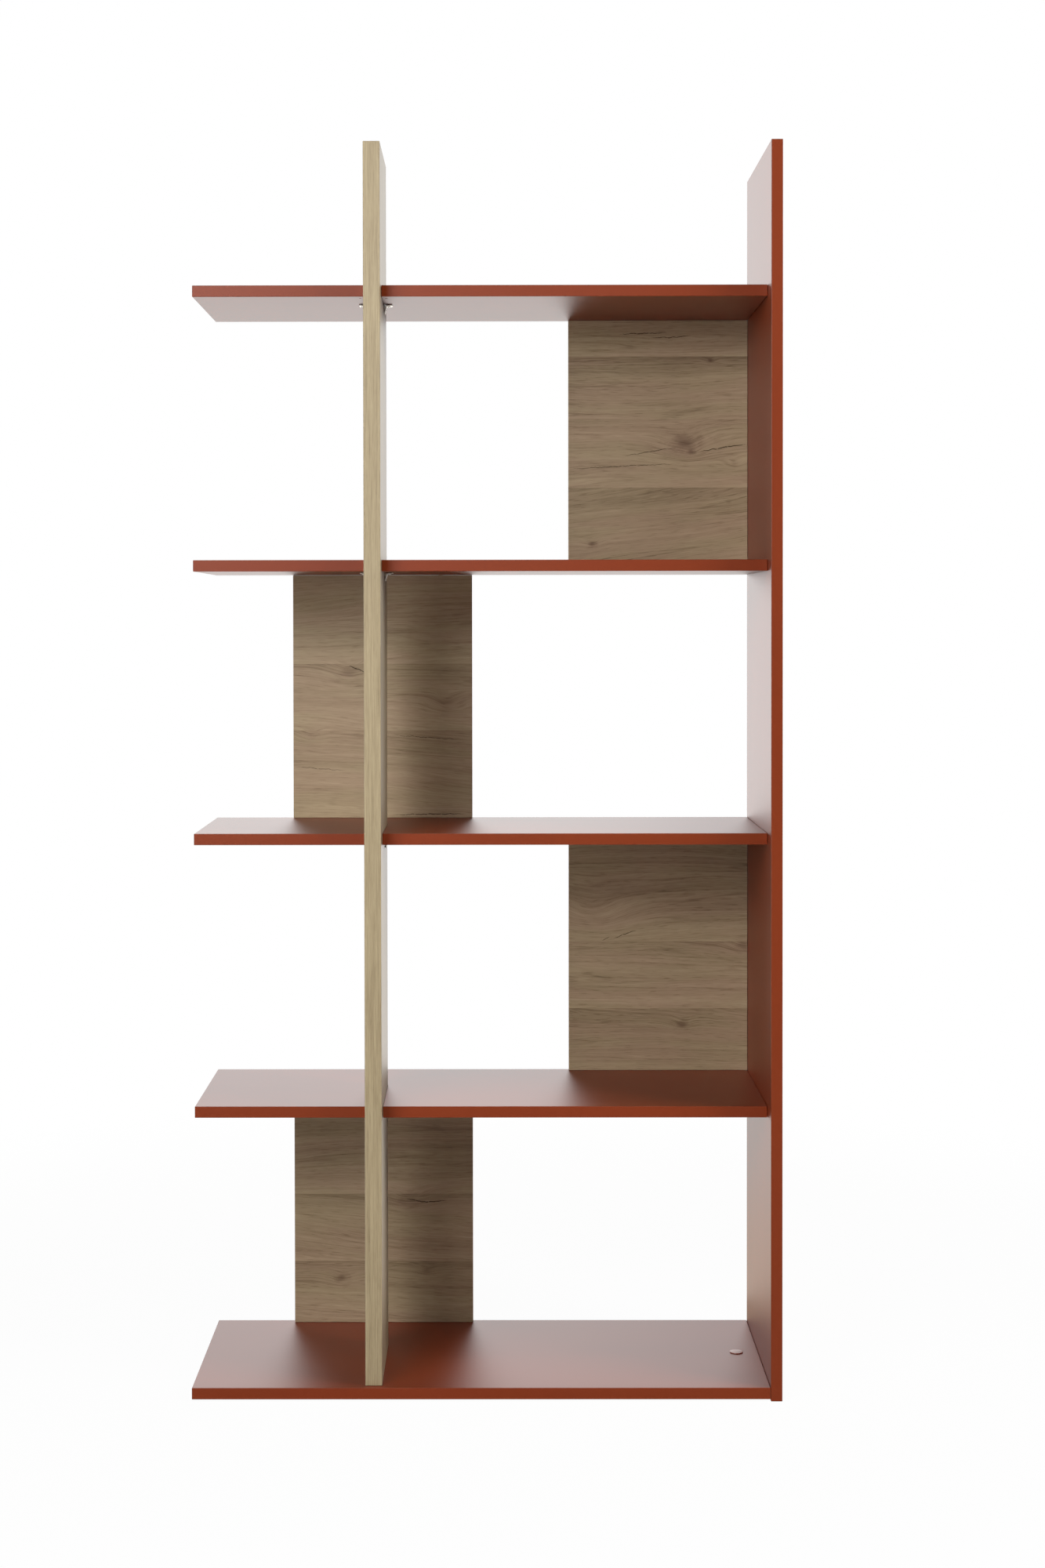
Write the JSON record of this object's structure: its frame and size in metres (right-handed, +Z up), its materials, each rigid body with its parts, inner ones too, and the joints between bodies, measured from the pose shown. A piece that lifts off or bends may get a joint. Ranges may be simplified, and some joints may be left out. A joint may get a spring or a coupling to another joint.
{
  "type": "shelving unit",
  "caption": "Tall open shelving unit: red-brown side board and shelves that run out past a pale oak upright, with oak back panels set in turn left and right.",
  "frame": {"origin": "on the floor, under the middle of the unit's width and depth", "axes": "+Z up; -Y is the open front; +X towards the full-height side board"},
  "size_m": [0.77, 0.3, 1.64],
  "materials": {
    "terracotta_facing": "satin red-brown melamine facing on chipboard",
    "oak_facing": "fine-grained pale oak decor facing on chipboard",
    "bright_steel": "bright zinc plating",
    "cast_zinc": "plain die casting",
    "beech": "bare",
    "red_plastic": "satin moulding, coloured like the red boards",
    "white_plastic": "plain moulding"
  },
  "bodies": {
    "root": {"side_board": "terracotta_facing", "base_board": "terracotta_facing", "lower_shelf": "terracotta_facing", "middle_shelf": "terracotta_facing", "upper_shelf": "terracotta_facing", "top_shelf": "terracotta_facing", "upright": "oak_facing", "back_panel_bay_1": "oak_facing", "back_panel_bay_2": "oak_facing", "back_panel_bay_3": "oak_facing", "back_panel_bay_4": "oak_facing", "lower_bracket_left": "bright_steel", "lower_bracket_right": "bright_steel", "middle_bracket_left": "bright_steel", "middle_bracket_right": "bright_steel", "upper_bracket_left": "bright_steel", "upper_bracket_right": "bright_steel", "top_bracket_left": "bright_steel", "top_bracket_right": "bright_steel", "lower_bracket_left_shelf_screw": "bright_steel", "lower_bracket_left_upright_screw": "bright_steel", "lower_bracket_right_shelf_screw": "bright_steel", "lower_bracket_right_upright_screw": "bright_steel", "middle_bracket_left_shelf_screw": "bright_steel", "middle_bracket_left_upright_screw": "bright_steel", "middle_bracket_right_shelf_screw": "bright_steel", "middle_bracket_right_upright_screw": "bright_steel", "upper_bracket_left_shelf_screw": "bright_steel", "upper_bracket_left_upright_screw": "bright_steel", "upper_bracket_right_shelf_screw": "bright_steel", "upper_bracket_right_upright_screw": "bright_steel", "top_bracket_left_shelf_screw": "bright_steel", "top_bracket_left_upright_screw": "bright_steel", "top_bracket_right_shelf_screw": "bright_steel", "top_bracket_right_upright_screw": "bright_steel", "base_cam_lock": "cast_zinc", "lower_cam_lock": "cast_zinc", "middle_cam_lock": "cast_zinc", "upper_cam_lock": "cast_zinc", "top_cam_lock": "cast_zinc", "base_cam_bolt": "bright_steel", "lower_cam_bolt": "bright_steel", "middle_cam_bolt": "bright_steel", "upper_cam_bolt": "bright_steel", "top_cam_bolt": "bright_steel", "cam_cover_cap": "red_plastic", "back_panel_bay_1_bottom_dowel": "beech", "back_panel_bay_1_top_dowel": "beech", "back_panel_bay_2_bottom_dowel": "beech", "back_panel_bay_2_top_dowel": "beech", "back_panel_bay_3_bottom_dowel": "beech", "back_panel_bay_3_top_dowel": "beech", "back_panel_bay_4_bottom_dowel": "beech", "back_panel_bay_4_top_dowel": "beech", "upright_dowel_front": "beech", "upright_dowel_rear": "beech", "glide_left_front": "white_plastic", "glide_left_rear": "white_plastic", "glide_middle_front": "white_plastic", "glide_middle_rear": "white_plastic"}
  },
  "joints": []
}
